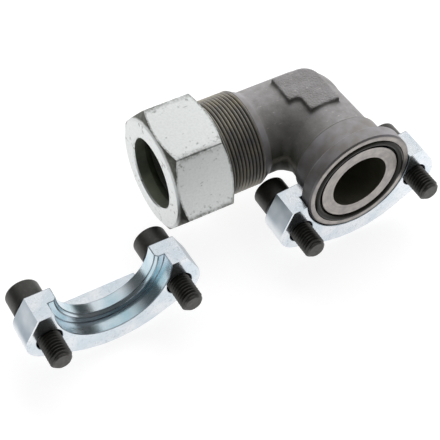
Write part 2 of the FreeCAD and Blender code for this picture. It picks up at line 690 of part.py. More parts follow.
def prove(body):
    """Stop on a broken feature, a cut that takes nothing, or a solid that isn't sound."""
    volume = 0.0
    for feature in body.Group:
        if {"Invalid", "Error"} & set(feature.State):
            raise RuntimeError("%s of %s failed" % (feature.Name, body.Label))
        if feature.isDerivedFrom("PartDesign::Feature"):
            taken = volume - feature.Shape.Volume
            cuts = feature.isDerivedFrom("PartDesign::Pocket") or feature.isDerivedFrom("PartDesign::Groove")
            if cuts and taken < 1.0:
                raise RuntimeError("%s of %s cuts nothing" % (feature.Name, body.Label))
            volume = feature.Shape.Volume
    if len(body.Shape.Solids) != 1 or not body.Shape.isValid():
        raise RuntimeError("%s isn't one sound solid" % body.Label)


sub_parts = make_all()
doc.recompute()
os.makedirs("parts", exist_ok=True)
for sub_part in sub_parts:
    prove(sub_part)
    sub_part.Shape.exportStep("parts/%s.step" % sub_part.Label)
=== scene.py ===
import json
import math

import bmesh
import bpy
from mathutils import Matrix, Vector


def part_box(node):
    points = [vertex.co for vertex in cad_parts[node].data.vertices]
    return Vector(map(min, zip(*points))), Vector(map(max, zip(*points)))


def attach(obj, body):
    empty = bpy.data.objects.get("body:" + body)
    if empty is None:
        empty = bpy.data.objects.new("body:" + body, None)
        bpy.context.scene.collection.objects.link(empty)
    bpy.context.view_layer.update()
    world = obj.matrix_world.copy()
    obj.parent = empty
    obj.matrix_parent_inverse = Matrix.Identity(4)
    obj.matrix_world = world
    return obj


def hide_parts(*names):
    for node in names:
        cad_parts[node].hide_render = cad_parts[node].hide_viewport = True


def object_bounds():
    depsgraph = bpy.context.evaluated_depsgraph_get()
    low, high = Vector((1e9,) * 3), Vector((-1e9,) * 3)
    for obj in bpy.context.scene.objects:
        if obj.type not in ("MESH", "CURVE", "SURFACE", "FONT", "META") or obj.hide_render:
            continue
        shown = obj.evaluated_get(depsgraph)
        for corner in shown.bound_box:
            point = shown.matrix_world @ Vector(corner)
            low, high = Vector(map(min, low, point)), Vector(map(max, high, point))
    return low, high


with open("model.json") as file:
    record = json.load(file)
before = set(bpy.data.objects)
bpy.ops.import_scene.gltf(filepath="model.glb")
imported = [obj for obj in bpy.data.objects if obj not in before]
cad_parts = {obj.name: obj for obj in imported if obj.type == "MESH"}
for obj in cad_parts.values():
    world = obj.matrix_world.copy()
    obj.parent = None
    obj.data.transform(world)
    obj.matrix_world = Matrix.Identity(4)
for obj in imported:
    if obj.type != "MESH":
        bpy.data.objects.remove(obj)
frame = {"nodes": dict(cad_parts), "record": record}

bl_info = {
    "name": "Hydraulic Flange Elbow",
    "version": (1, 0, 0),
    "blender": (4, 5, 0),
    "location": "View3D > Sidebar > Flange Elbow",
    "description": "Dresses a hydraulic elbow, its union nut, flange halves, screws and seals",
    "category": "Object",
}

# The frame's own facts. The port's axis is the Y axis, its sealing face lies on y = 0, and
# the tube leg runs from the corner along -X.
MM = 0.001
TURN = 2 * math.pi
MOUNTS = {mount["name"]: mount for mount in frame["record"]["mounts"]}
CORNER_Y = MOUNTS["tube_socket"]["pos_m"][1]
BORE = MOUNTS["port_bore"]["dims"]["r_mm"] * MM
FLOOR_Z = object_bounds()[0][2]
# An axis is a point on it, with a vector that is 0 along it and 1 across it.
PORT_AXIS = ((0.0, 0.0, 0.0), (1.0, 0.0, 1.0))
TUBE_AXIS = ((0.0, CORNER_Y, 0.0), (0.0, 1.0, 1.0))
# The nut's chamfers rise 30 degrees from its faces.
CHAMFER_SLOPE = math.tan(math.radians(30))


def linear(code):
    """Linear red, green and blue of an sRGB colour written as #rrggbb."""
    levels = [int(code[place:place + 2], 16) / 255 for place in (1, 3, 5)]
    return [level / 12.92 if level <= 0.04045 else ((level + 0.055) / 1.055) ** 2.4 for level in levels]


def length(name, description, default_mm):
    """Size in a panel, written in millimetres and kept in metres."""
    return bpy.props.FloatProperty(name=name, description=description, default=default_mm * MM,
                                   min=0.0, subtype="DISTANCE", unit="LENGTH", precision=5)


def angle(name, description, default_degrees):
    """Angle in a panel, written in degrees and kept in radians."""
    return bpy.props.FloatProperty(name=name, description=description, subtype="ANGLE", unit="ROTATION",
                                   default=math.radians(default_degrees))


def colour(name, description, code):
    """Colour in a panel, written as sRGB hex."""
    return bpy.props.FloatVectorProperty(name=name, description=description, default=linear(code),
                                         size=3, min=0.0, max=1.0, subtype="COLOR")


class ElbowSizes(bpy.types.PropertyGroup):
    """Forged middle and threaded end of the elbow."""
    grain: length("Forging Grain", "Voxel that the forged skin is remeshed with", 0.6)
    blend: bpy.props.IntProperty(name="Forging Blend", description="Smoothing passes on the forged skin",
                                 default=5, min=0)
    fold: length("Fold", "Height of the forging's fold between the legs", 0.2)
    fold_width: length("Fold Width", "Half the width of that fold", 1.4)
    forged_from: length("Forging Starts", "Neck's step, behind the sealing face", 21.8)
    fade: length("Run-out", "Corner to the end of the thread's run-out", 32.2)
    run: length("Thread Run", "Corner to the last full thread", 37.8)
    mouth: length("Mouth", "Corner to the mouth of the tube leg", 71.0)
    thread: length("Thread", "Outside radius of the tube leg's thread", 26.0)
    pitch: length("Pitch", "Pitch of the tube leg's thread", 2.0)
    chamfer: length("Mouth Chamfer", "Chamfer at the mouth of the thread", 1.5)
    forged: length("Forged Round", "Radius of the forged leg", 23.0)
    groove: length("Seal Groove", "Width of the groove in the sealing face", 4.5)
    head_edge: length("Head Edge", "Chamfer at the front of the flange head", 0.8)


class NutSizes(bpy.types.PropertyGroup):
    """Union nut."""
    flats: length("Flats", "Nut across its flats", 60.0)
    face: length("Face", "Radius of the round face inside the chamfers", 28.6)
    corner: length("Corner", "Rounding of the hexagon's corners", 1.0)
    edge: length("Edge", "Rounding of the turned edges", 0.45)
    lip: length("Lip", "Chamfer round the bore", 0.8)
    bore: length("Bore", "Radius of the tube's bore", 19.1)
    seat_foot: length("Seat Foot", "Front face to the foot of the ring's seat", 6.625)
    cavity: length("Cavity", "Radius of the ring's cavity", 23.8)
    thread_start: length("Thread Start", "Front face to the thread", 18.2)
    thread: length("Thread", "Radius of the thread's bore", 26.05)
    lead: length("Lead", "Chamfer where the nut takes the thread", 1.2)
    turned: angle("Turned", "How far the nut is turned about the tube's axis", 7.1)


class ScrewSizes(bpy.types.PropertyGroup):
    """Socket-head cap screws."""
    thread: length("Thread", "Outside radius of the thread", 5.9)
    shank: length("Shank", "Radius of the plain shank", 5.4)
    length: length("Length", "Screw under its head", 35.0)
    plain: length("Plain Shank", "Shank between head and thread", 5.25)
    tip: length("Tip", "Chamfer at the end", 1.6)
    pitch: length("Pitch", "Pitch of the thread", 1.75)
    head: length("Head", "Radius of the head", 9.0)
    head_depth: length("Head Height", "Height of the head", 12.0)
    head_edge: length("Head Edge", "Rounding of the head's back edge", 1.0)
    key: length("Key", "Socket across its flats", 10.0)
    key_depth: length("Key Depth", "Depth of the socket", 6.0)


class SoftEdges(bpy.types.PropertyGroup):
    """Broken edges of the pieces that keep the frame's own shape."""
    half: length("Flange Halves", "Rounding of the machined edges", 0.4)
    recess: length("Turned Recess", "Radius that the halves are turned out to", 31.2)
    bore: length("Turned Bore", "Radius that the halves' bore is turned out to", 27.4)
    step: length("Recess Step", "Depth of the recess with its chamfer", 9.0)
    washer: length("Spring Washers", "Rounding of the wire's edges", 0.25)
    ring: length("Cutting Ring", "Rounding of the ring's edges", 0.12)


class Finishes(bpy.types.PropertyGroup):
    """Colours of the finishes."""
    forged_light: colour("Phosphate Light", "Light blotches of the phosphated forging", "#9a9899")
    forged_dark: colour("Phosphate Dark", "Dark blotches of the phosphated forging", "#858382")
    # Painted shade: a dark olive that darkens the forging's hollows and crook and the neck's step.
    shade_olive: colour("Oil", "Oil and scale in the forging's hollows", "#3b3d28")
    turned_light: colour("Turned Light", "Light blotches of the turned steel", "#979599")
    turned_dark: colour("Turned Dark", "Dark blotches of the turned steel", "#807c79")
    bore: colour("Bore", "Oiled bores", "#7a7868")
    crest: colour("Thread Crest", "Crests of the phosphated thread", "#b9b2a3")
    root: colour("Thread Root", "Roots of the phosphated thread", "#35332c")
    faced: colour("Faced Steel", "Turned sealing face", "#d0c9c2")
    zinc: colour("Matte Zinc", "Zinc plating of the nut", "#edf0ef")
    zinc_scuff: colour("Zinc Stains", "Stains of the nut", "#c2c6c4")
    zinc_dirt: colour("Zinc Dirt", "Dirt and knocks along the nut's edges", "#55574f")
    # Painted shade: the nut's inside is given a darker, greenish zinc, beside its thinner plating.
    zinc_inside: colour("Thin Zinc", "Plating inside the nut", "#b0b8a2")
    # Painted dark reflection together with dirt, on the nut's chamfers out at the corners.
    zinc_chamfer: colour("Zinc Chamfer", "Turned chamfers of the nut", "#74766e")
    # Painted shade along the halves' broken edges.
    zinc_edge: colour("Zinc Edge", "Deburred edges of the flange halves", "#3d444a")
    bright: colour("Bright Zinc", "Bright zinc plating of the flange halves", "#f1f5f9")
    bright_blue: colour("Blue Passivation", "Bluish tint of the bright zinc", "#cfdee9")
    turned_zinc: colour("Turned Zinc", "Zinc in the turned recess of the halves", "#dfeaf1")
    turned_teal: colour("Teal Passivation", "Teal tint in the turned recess", "#abcdd9")
    # Also the painted dark reflection on the upward-tilted sides of the halves.
    forged_zinc: colour("Forged Zinc", "Dull patches on the halves' forged sides", "#9eaab4")
    black: colour("Black Oxide", "Blackened screws and washers", "#2c2b26")
    worn: colour("Worn Steel", "Screw ends rubbed bare", "#6c6b68")
    rubber: colour("Nitrile", "Seal", "#2d2b22")
    ring: colour("Ring Steel", "Cutting ring", "#a9aba6")
    floor: colour("Floor", "Floor and backdrop", "#8a8a8a")


class StageSettings(bpy.types.PropertyGroup):
    """Camera and lights."""
    spot: bpy.props.FloatVectorProperty(name="Camera Spot", description="Where the camera stands",
                                        default=(-0.2944, -0.3483, 0.49512),
                                        subtype="TRANSLATION", unit="LENGTH")
    azimuth: angle("Azimuth", "Direction of sight, from +X towards +Y", 58.66)
    dip: angle("Dip", "Angle of the line of sight below level", 49.58)
    roll: angle("Roll", "Camera rolled about the line of sight", 2.0)
    lens: bpy.props.FloatProperty(name="Lens", description="Focal length on a 36 mm sensor",
                                  default=107.7, min=1.0, subtype="DISTANCE_CAMERA", unit="CAMERA")
    key_power: bpy.props.FloatProperty(name="Key Lamp", description="Power of the lamp behind on the right",
                                       default=19.0, min=0.0, subtype="POWER", unit="POWER")
    sky: bpy.props.FloatProperty(name="Sky", description="Strength of the light from above",
                                 default=0.85, min=0.0)
    horizon: bpy.props.FloatProperty(name="Horizon", description="Strength of the dim room all round",
                                     default=0.1, min=0.0)


# Materials. A pattern's scale is one over its real size, because the shaders read metres.
# A Map Range is fed its value, the range that it comes from and the range that it goes to.

def per(size_mm):
    """Texture scale of a pattern whose cells are this many millimetres wide."""
    return 1 / (size_mm * MM)


def feed(owner, node, inputs):
    """Set or link a node's inputs: a dict gives them by name, a tuple in the order of those in use."""
    if isinstance(inputs, dict):
        pairs = [(node.inputs[name], value) for name, value in inputs.items()]
    else:
        pairs = list(zip([socket for socket in node.inputs if socket.enabled], inputs))
    for socket, value in pairs:
        if isinstance(value, bpy.types.Node):
            value = next(output for output in value.outputs if output.enabled)
        if isinstance(value, bpy.types.NodeSocket):
            owner.node_tree.links.new(value, socket)
        else:
            socket.default_value = (*value, 1.0) if socket.type == "RGBA" else value


def add(owner, kind, inputs=(), operation=None, **settings):
    """Add a node to a material or world, with its settings and its inputs. Every mix is one of colours."""
    node = owner.node_tree.nodes.new("ShaderNode" + kind)
    if operation:
        node.operation = operation
    if kind == "Mix":
        node.data_type = "RGBA"
    for name, value in settings.items():
        setattr(node, name, value)
    feed(owner, node, inputs)
    return node


def new_material(name, metallic, roughness):
    """Material with a bare shader, and the place on the piece that its patterns read."""
    material = bpy.data.materials.new(name)
    material.use_nodes = True
    shader = material.node_tree.nodes["Principled BSDF"]
    feed(material, shader, {"Metallic": metallic, "Roughness": roughness})
    return material, add(material, "TexCoord").outputs["Object"]


def finished(material, tint, relief=None, others=()):
    """Material with its colour, its relief and its shader's other inputs.

    The relief is a bump node, or a height with its depth in millimetres.
    """
    shader = {"Base Color": tint, **dict(others)}
    if isinstance(relief, tuple):
        height, depth_mm = relief
        relief = add(material, "Bump", {"Height": height, "Distance": depth_mm * MM})
    if relief:
        shader["Normal"] = relief
    feed(material, material.node_tree.nodes["Principled BSDF"], shader)
    return material


def patches(material, place, cells_mm, detail, levels, least=0.0, most=1.0, roughness=0.5):
    """Share that goes from least to most between two levels of a noise with cells of that size."""
    noise = add(material, "TexNoise", (place, per(cells_mm), detail, roughness))
    return add(material, "MapRange", (noise, *levels, least, most))


def stained(material, place, base, stain, *pattern, **limits):
    """Base colour with a stain in patches."""
    share = patches(material, place, *pattern, **limits)
    return add(material, "Mix", (share, base, stain))


def from_axis(material, place, axis):
    """Distance of a place from an axis."""
    point, across = axis
    moved = add(material, "VectorMath", (place, point), "SUBTRACT")
    flat = add(material, "VectorMath", (moved, across), "MULTIPLY")
    return add(material, "VectorMath", (flat,), "LENGTH")


def tool_marks(material, distance, spacing_mm):
    """Wave of the tool's feed marks along a distance."""
    phase = add(material, "Math", (distance, TURN / (spacing_mm * MM)), "MULTIPLY")
    return add(material, "Math", (phase,), "SINE")


def forged_phosphated_steel(look):
    """Drop-forged steel, blasted, phosphated and oiled: dull grey, smooth sides and grainy pads."""
    steel, place = new_material("forged_phosphated_steel", 0.15, 0.55)
    split = add(steel, "SeparateXYZ", (place,)).outputs
    # Phosphate crystals cloud it in blotches of about 5 mm.
    clouds = patches(steel, place, 5.0, 6.0, (0.3, 0.7), roughness=0.6)
    tint = add(steel, "Mix", (clouds, look.forged_dark, look.forged_light))
    # Handling scuffs: short pale scratches about 3 mm long, few and far between.
    stretched = add(steel, "Mapping", {"Vector": place, "Rotation": (0.4, 0.2, 0.9),
                                       "Scale": (1.0, 5.0, 1.0)})
    tint = stained(steel, stretched, tint, look.faced, 3.4, 3.0, (0.66, 0.73), most=0.7)
    # Painted shade: the hollows beside the pads, found by ambient occlusion, and the crook are darkened to
    # a dark olive, where shade falls.
    hollows = add(steel, "AmbientOcclusion", {"Distance": 25.0 * MM}, samples=8).outputs["AO"]
    painted_shade = add(steel, "MapRange", (hollows, 0.5, 0.93, 0.9, 0.0))
    beside = add(steel, "MapRange", (split["X"], -16.0 * MM, 0.0, 0.33, 0.0))
    before = add(steel, "MapRange", (split["Y"], CORNER_Y - 16.0 * MM, CORNER_Y, 1.0, 0.0))
    crook = add(steel, "Math", (beside, before), "MULTIPLY")
    painted_shade = add(steel, "Math", (painted_shade, crook), "MAXIMUM")
    tint = add(steel, "Mix", (painted_shade, tint, look.shade_olive))
    # The trimmed flash line runs round the middle plane, ground bare in places.
    height = add(steel, "Math", (split["Z"],), "ABSOLUTE")
    flash = add(steel, "MapRange", (height, 0.6 * MM, 2.6 * MM, 0.9, 0.0))
    flash = add(steel, "Math", (flash, clouds), "MULTIPLY")
    tint = add(steel, "Mix", (flash, tint, look.crest))
    # Scale pits of the forging, about 1.1 mm wide: coarser than the real ones, so that they show.
    pits = add(steel, "TexNoise", (place, per(1.1), 3.0))
    sunk = add(steel, "MapRange", (pits, 0.3, 0.62))
    on_pad = add(steel, "MapRange", (height, 23.6 * MM, 24.6 * MM, 0.2, 1.0))
    gloss = add(steel, "MapRange", (pits, 0.3, 0.7, 0.5, 0.65))
    relief = add(steel, "Bump", {"Height": sunk, "Distance": 0.2 * MM, "Strength": on_pad})
    return finished(steel, tint, relief, {"Roughness": gloss, "Specular IOR Level": 0.35})


def turned_phosphated_steel(look):
    """Lathe-turned steel, phosphated and oiled: smoother than the forging, with uneven tool rings."""
    steel, place = new_material("turned_phosphated_steel", 0.25, 0.45)
    sizes = bpy.context.scene.elbow_sizes
    tint = stained(steel, place, look.turned_dark, look.turned_light, 10.0, 5.0, (0.38, 0.66))
    # Feed marks of 1.5 mm so that they show; the real ones are a tenth of that.
    along = add(steel, "SeparateXYZ", (place,)).outputs["Y"]
    line = add(steel, "CombineXYZ", (from_axis(steel, place, PORT_AXIS), along))
    turns = add(steel, "TexNoise", (line, per(1.5)))
    # Painted shade: the corner of the neck's step is darkened to the olive shade colour.
    step = add(steel, "Math", (along, sizes.forged_from), "SUBTRACT")
    step = add(steel, "Math", (step,), "ABSOLUTE")
    painted_shade = add(steel, "MapRange", (step, 0.9 * MM, 1.1 * MM, 0.7, 0.0))
    tint = add(steel, "Mix", (painted_shade, tint, look.shade_olive))
    # Painted reflection: the head's front chamfer is lighter at the bottom and towards +X, where it would
    # mirror the floor.
    front = add(steel, "MapRange", (along, sizes.head_edge, sizes.head_edge + 0.2 * MM, 1.0, 0.0))
    sheen_side = (0.5, 0.0, -0.85)
    side = add(steel, "VectorMath", (place, sheen_side), "DOT_PRODUCT")
    side = add(steel, "MapRange", (side, -8 * MM, 16 * MM))
    lower_sheen = add(steel, "Math", (front, side), "MULTIPLY")
    tint = add(steel, "Mix", (lower_sheen, tint, look.faced))
    return finished(steel, tint, (turns, 0.01))


def oiled_bore_steel(look):
    """Drilled and phosphated bore, still oiled: greenish grey with a sheen, and dark with its depth."""
    steel, place = new_material("oiled_bore_steel", 0.3, 0.45)
    tint = stained(steel, place, look.bore, look.root, 6.0, 4.0, (0.4, 0.8), most=0.3)
    # Drill marks 1 mm apart along both bores, coarser than the real ones.
    split = add(steel, "SeparateXYZ", (place,)).outputs
    along = add(steel, "Math", (split["X"], split["Y"]), "ADD")
    return finished(steel, tint, (tool_marks(steel, along, 1.0), 0.01))


def greased_shaded_groove_steel(look):
    """Turned and phosphated seal groove, full of grease and painted shade: nearly black."""
    steel, place = new_material("greased_shaded_groove_steel", 0.3, 0.5)
    tint = stained(steel, place, look.rubber, look.root, 3.0, 4.0, (0.4, 0.75), most=0.5)
    # Tool rings 0.6 mm apart so that they show.
    rings = tool_marks(steel, from_axis(steel, place, PORT_AXIS), 0.6)
    return finished(steel, tint, (rings, 0.006))


def phosphated_thread_steel(look):
    """Cut and phosphated thread: darker towards its roots, lighter and brownish at its crests."""
    steel, place = new_material("phosphated_thread_steel", 0.45, 0.45)
    sizes = bpy.context.scene.elbow_sizes
    depth = thread_depth(sizes.pitch)
    reach = from_axis(steel, place, TUBE_AXIS)
    share = add(steel, "MapRange", (reach, sizes.thread - 0.95 * depth, sizes.thread - 0.4 * depth))
    crest = stained(steel, place, look.crest, look.forged_light, 7.0, 4.0, (0.35, 0.7))
    tint = add(steel, "Mix", (share, look.root, crest))
    # Phosphate grain of 0.6 mm, coarser than the real one.
    grain = add(steel, "TexNoise", (place, per(0.6)))
    return finished(steel, tint, (grain, 0.015))


def faced_steel(look):
    """Sealing face turned after forging: satin and pinkish grey, with uneven rings."""
    steel, place = new_material("faced_steel", 0.7, 0.38)
    tint = stained(steel, place, look.faced, look.turned_light, 5.0, 5.0, (0.35, 0.75), most=0.8)
    # Tool rings of 1.3 mm so that they show; a real sealing face has them every 0.1 mm.
    line = add(steel, "CombineXYZ", (from_axis(steel, place, PORT_AXIS),))
    rings = add(steel, "TexNoise", (line, per(1.3)))
    dulled = add(steel, "MapRange", (rings, 0.4, 0.65, 0.0, 0.45))
    tint = add(steel, "Mix", (dulled, tint, look.turned_dark))
    return finished(steel, tint, (rings, 0.02))


def matte_zinc(look):
    """Barrel-plated zinc on a machined nut: pale and dull, with dirt and knocks along its edges."""
    zinc, place = new_material("matte_zinc", 0.8, 0.35)
    sizes = bpy.context.scene.nut_sizes
    low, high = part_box("union_nut")
    half_depth = (high.x - low.x) / 2
    split = add(zinc, "SeparateXYZ", (place,)).outputs
    reach = from_axis(zinc, place, TUBE_AXIS)
    level = add(zinc, "Math", (split["Y"], CORNER_Y), "SUBTRACT")
    turned = add(zinc, "Math", (split["Z"], level), "ARCTAN2")
    turned = add(zinc, "Math", (turned, sizes.turned), "SUBTRACT")
    # Angle from the nearest corner of the hexagon, then the depth below its side.
    off = add(zinc, "Math", (turned, TURN / 12), "PINGPONG")
    lean = add(zinc, "Math", (TURN / 12, off), "SUBTRACT")
    lean = add(zinc, "Math", (lean,), "COSINE")
    side = add(zinc, "Math", (lean, reach), "MULTIPLY")
    below = add(zinc, "Math", (sizes.flats / 2, side), "SUBTRACT")
    # Depth below the cone of the nearer chamfer.
    middle = add(zinc, "Math", (split["X"], low.x + half_depth), "SUBTRACT")
    middle = add(zinc, "Math", (middle,), "ABSOLUTE")
    cone = add(zinc, "Math", (reach, CHAMFER_SLOPE, middle), "MULTIPLY_ADD")
    cone = add(zinc, "Math", (half_depth + sizes.face * CHAMFER_SLOPE, cone), "SUBTRACT")
    rim = add(zinc, "Math", (below, cone), "ADD")
    rim = add(zinc, "MapRange", (rim, 0.4 * MM, 1.3 * MM, 1.0, 0.0))
    arc = add(zinc, "Math", (off, reach), "MULTIPLY")
    corner = add(zinc, "MapRange", (arc, 0.5 * MM, 2.6 * MM, 1.0, 0.0))
    on_side = add(zinc, "MapRange", (below, 0.2 * MM, 0.7 * MM, 1.0, 0.0))
    corner = add(zinc, "Math", (corner, on_side), "MULTIPLY")
    edges = add(zinc, "Math", (rim, corner), "MAXIMUM")
    spells = patches(zinc, place, 11.0, 2.0, (0.35, 0.6), least=0.3)
    edges = add(zinc, "Math", (edges, spells), "MULTIPLY")
    # Dirt of about 1.3 mm along the edges; dark specks and scratches, thicker towards the corners.
    flecks = patches(zinc, place, 1.3, 5.0, (0.38, 0.58), least=0.25, roughness=0.65)
    dirt = add(zinc, "Math", (edges, flecks), "MULTIPLY")
    near = add(zinc, "MapRange", (arc, 0.0, 9.0 * MM, 0.14, 0.0))
    specks = add(zinc, "TexNoise", (place, per(2.4), 3.0))
    specks = add(zinc, "Math", (specks, near), "ADD")
    specks = add(zinc, "MapRange", (specks, 0.68, 0.78, 0.0, 0.5))
    drawn = add(zinc, "Mapping", {"Vector": place, "Rotation": (0.0, 0.3, 0.4),
                                  "Scale": (1.0, 4.0, 4.0)})
    scratches = patches(zinc, drawn, 6.0, 2.0, (0.7, 0.76), most=0.6)
    marks = add(zinc, "Math", (specks, scratches), "MAXIMUM")
    marks = add(zinc, "Math", (dirt, marks), "MAXIMUM")
    # Cloudy plating: mottles of 1.1 mm.
    tint = stained(zinc, place, look.zinc, look.zinc_scuff, 1.1, 2.0, (0.35, 0.7), most=0.22)
    tint = add(zinc, "Mix", (marks, tint, look.zinc_dirt))
    # Crystals of the plating, 0.8 mm so that they show.
    grain = add(zinc, "TexNoise", (place, per(0.8), 4.0))
    relief = add(zinc, "Bump", {"Height": grain, "Distance": 0.01 * MM})
    relief = add(zinc, "Bump", {"Height": marks, "Distance": 0.05 * MM, "Normal": relief}, invert=True)
    return finished(zinc, tint, relief)


def thin_shaded_zinc(look):
    """Zinc deep inside the nut, where the plating runs thinner: dull and greenish, and darker as painted
    shade.
    """
    zinc, place = new_material("thin_shaded_zinc", 0.25, 0.45)
    tint = stained(zinc, place, look.zinc_inside, look.zinc_dirt, 11.0, 3.0, (0.35, 0.75), most=0.7)
    # Boring marks 0.6 mm apart so that they show.
    along = add(zinc, "SeparateXYZ", (place,)).outputs["X"]
    return finished(zinc, tint, (tool_marks(zinc, along, 0.6), 0.006))


def bright_zinc(look):
    """Bright zinc with blue passivation on milled faces: glossy, a bluish milky film, fine mottling."""
    zinc, place = new_material("bright_zinc", 0.92, 0.24)
    tint = stained(zinc, place, look.bright, look.bright_blue, 13.0, 2.0, (0.4, 0.62), most=0.6)
    # Milling nicks and dull specks of about 1.5 mm, coarser than the real ones.
    grain = add(zinc, "TexNoise", (place, per(1.5), 3.0))
    specks = add(zinc, "MapRange", (grain, 0.54, 0.72, 0.0, 0.25))
    tint = add(zinc, "Mix", (specks, tint, look.forged_zinc))
    gloss = add(zinc, "MapRange", (grain, 0.3, 0.7, 0.13, 0.2))
    return finished(zinc, tint, (grain, 0.003), {"Roughness": gloss})


def turned_zinc(look):
    """Zinc on the turned recess and bore of the halves: glossy, with a blue-green film and tool rings."""
    zinc, place = new_material("turned_zinc", 0.95, 0.2)
    tint = stained(zinc, place, look.turned_zinc, look.turned_teal, 16.0, 2.0, (0.35, 0.65))
    # Feed marks of the boring bar, 0.9 mm apart so that they show; some turns bite deeper.
    along = add(zinc, "SeparateXYZ", (place,)).outputs["Y"]
    line = add(zinc, "CombineXYZ", {"Y": along})
    bite = add(zinc, "TexNoise", (line, per(0.9), 3.0))
    gloss = add(zinc, "MapRange", (bite, 0.3, 0.7, 0.17, 0.26))
    return finished(zinc, tint, (bite, 0.02), {"Roughness": gloss})


def forged_zinc(look):
    """Zinc over the forged, tumbled sides of the halves: uneven, bright, and dull in patches where they
    tilt upwards, the dullness there a painted dark reflection.
    """
    zinc, place = new_material("forged_zinc", 0.88, 0.3)
    share = patches(zinc, place, 12.0, 2.0, (0.35, 0.65), least=0.6)
    # Painted dark reflection: the sides darken where they tilt upwards, as though mirroring the dim room.
    dark_reflection = add(zinc, "SeparateXYZ", (add(zinc, "TexCoord").outputs["Normal"],)).outputs["Z"]
    dark_reflection = add(zinc, "MapRange", (dark_reflection, 0.05, 0.4))
    share = add(zinc, "Math", (share, dark_reflection), "MULTIPLY")
    tint = add(zinc, "Mix", (share, look.bright, look.forged_zinc))
    # Tumbled skin: dents of about 3 mm.
    skin = add(zinc, "TexNoise", (place, per(3.0)))
    return finished(zinc, tint, (skin, 0.03))


def turned_zinc_chamfer(look):
    """Turned chamfers of the nut: bright beside the round face, dull and dark out at the corners, with dirt
    and a painted dark reflection.
    """
    zinc, place = new_material("turned_zinc_chamfer", 0.7, 0.42)
    # Knocks, dirt and the painted dark reflection in patches of about 2.5 mm.
    rubs = add(zinc, "TexNoise", (place, per(2.4), 5.0, 0.6))
    share = add(zinc, "MapRange", (rubs, 0.35, 0.62))
    dirt_and_reflection = add(zinc, "Mix", (share, look.zinc_dirt, look.zinc_chamfer))
    # The dirt and the painted reflection start about 30 mm from the axis, with a frayed edge.
    reach = from_axis(zinc, place, TUBE_AXIS)
    frayed = add(zinc, "Math", (rubs, 1.2 * MM, reach), "MULTIPLY_ADD")
    share = add(zinc, "MapRange", (frayed, 30.2 * MM, 31.0 * MM))
    tint = add(zinc, "Mix", (share, look.zinc, dirt_and_reflection))
    return finished(zinc, tint, (rubs, 0.04))


def dull_shaded_zinc_edge(look):
    """Deburred edge, duller and darker than the faces: painted shade along the edges."""
    zinc, place = new_material("dull_shaded_zinc_edge", 0.7, 0.45)
    tint = stained(zinc, place, look.zinc_edge, look.bright_blue, 15.0, 2.0, (0.4, 0.6), 0.15, 0.9)
    return finished(zinc, tint)


def black_oxide_steel(look):
    """Heat-treated screw steel, blackened and oiled: nearly black with a soft sheen."""
    steel, place = new_material("black_oxide_steel", 0.4, 0.42)
    # Rub marks about 2 mm wide.
    rubs = add(steel, "TexNoise", (place, per(1.8), 5.0))
    share = add(steel, "MapRange", (rubs, 0.5, 0.85, 0.0, 0.25))
    tint = add(steel, "Mix", (share, look.black, look.worn))
    return finished(steel, tint, (rubs, 0.012), {"Specular IOR Level": 1.0})


def worn_screw_end(look):
    """Screw end where the black oxide is worn through to grey steel."""
    steel, place = new_material("worn_screw_end", 0.5, 0.45)
    rubs = add(steel, "TexNoise", (place, per(2.2), 4.0))
    share = add(steel, "MapRange", (rubs, 0.3, 0.8, 0.0, 0.55))
    tint = add(steel, "Mix", (share, look.worn, look.black))
    return finished(steel, tint, (rubs, 0.02))


def nitrile_rubber(look):
    """Moulded nitrile rubber: black and satin, with a faint bloom of grease."""
    rubber, place = new_material("nitrile_rubber", 0.0, 0.3)
    tint = stained(rubber, place, look.rubber, look.root, 2.5, 4.0, (0.4, 0.75), most=0.25)
    # Moulding texture of 0.5 mm, coarser than the real one.
    skin = add(rubber, "TexNoise", (place, per(0.5)))
    return finished(rubber, tint, (skin, 0.008), {"IOR": 1.52, "Specular IOR Level": 0.2})


def turned_ring_steel(look):
    """Turned spring steel of the cutting ring, zinc-plated: satin with tool rings."""
    steel, place = new_material("turned_ring_steel", 0.8, 0.35)
    tint = stained(steel, place, look.ring, look.zinc_inside, 4.0, 4.0, (0.35, 0.7), most=0.5)
    # Tool rings 0.5 mm apart so that they show.
    along = add(steel, "SeparateXYZ", (place,)).outputs["X"]
    return finished(steel, tint, (tool_marks(steel, along, 0.5), 0.004))


# Shapes.

def ramp(value, none, full):
    """Share of 0 at none and 1 at full, straight between them."""
    return min(max((value - none) / (full - none), 0.0), 1.0)


def off_corner(turned):
    """Angle from the nearest sixth of a turn."""
    sixth = TURN / 6
    return abs((turned + sixth / 2) % sixth - sixth / 2)


def swung(along, reach, turned):
    """Point so far along the X axis and so far from it, swung about it."""
    return along, reach * math.cos(turned), reach * math.sin(turned)


def rounded(corners, closed=False):
    """Points of an outline whose corners, given as (x, y, radius), are rounded by arcs."""
    steps = 4
    points = []
    count = len(corners)
    for number, (x, y, radius) in enumerate(corners):
        here = Vector((x, y))
        if radius <= 0 or (not closed and number in (0, count - 1)):
            points.append(here)
            continue
        before = (Vector(corners[number - 1][:2]) - here).normalized()
        after = (Vector(corners[(number + 1) % count][:2]) - here).normalized()
        half = before.angle(after) / 2
        reach = radius / math.tan(half)
        centre = here + (before + after).normalized() * (radius / math.sin(half))
        start = here + before * reach - centre
        end = here + after * reach - centre
        sweep = start.angle_signed(end)
        for step in range(steps + 1):
            points.append(centre + Matrix.Rotation(-sweep * step / steps, 2) @ start)
    return points


def grid_mesh(name, rows, around=False, across=False):
    """Mesh of quads over rows of points; around joins the last row to the first, across each row's ends."""
    mesh = bpy.data.meshes.new(name)
    height, width = len(rows), len(rows[0])
    points = [point for row in rows for point in row]
    faces = []
    for row in range(height if around else height - 1):
        for column in range(width if across else width - 1):
            next_row, next_column = (row + 1) % height, (column + 1) % width
            faces.append((row * width + column, row * width + next_column,
                          next_row * width + next_column, next_row * width + column))
    mesh.from_pydata(points, [], faces)
    return mesh


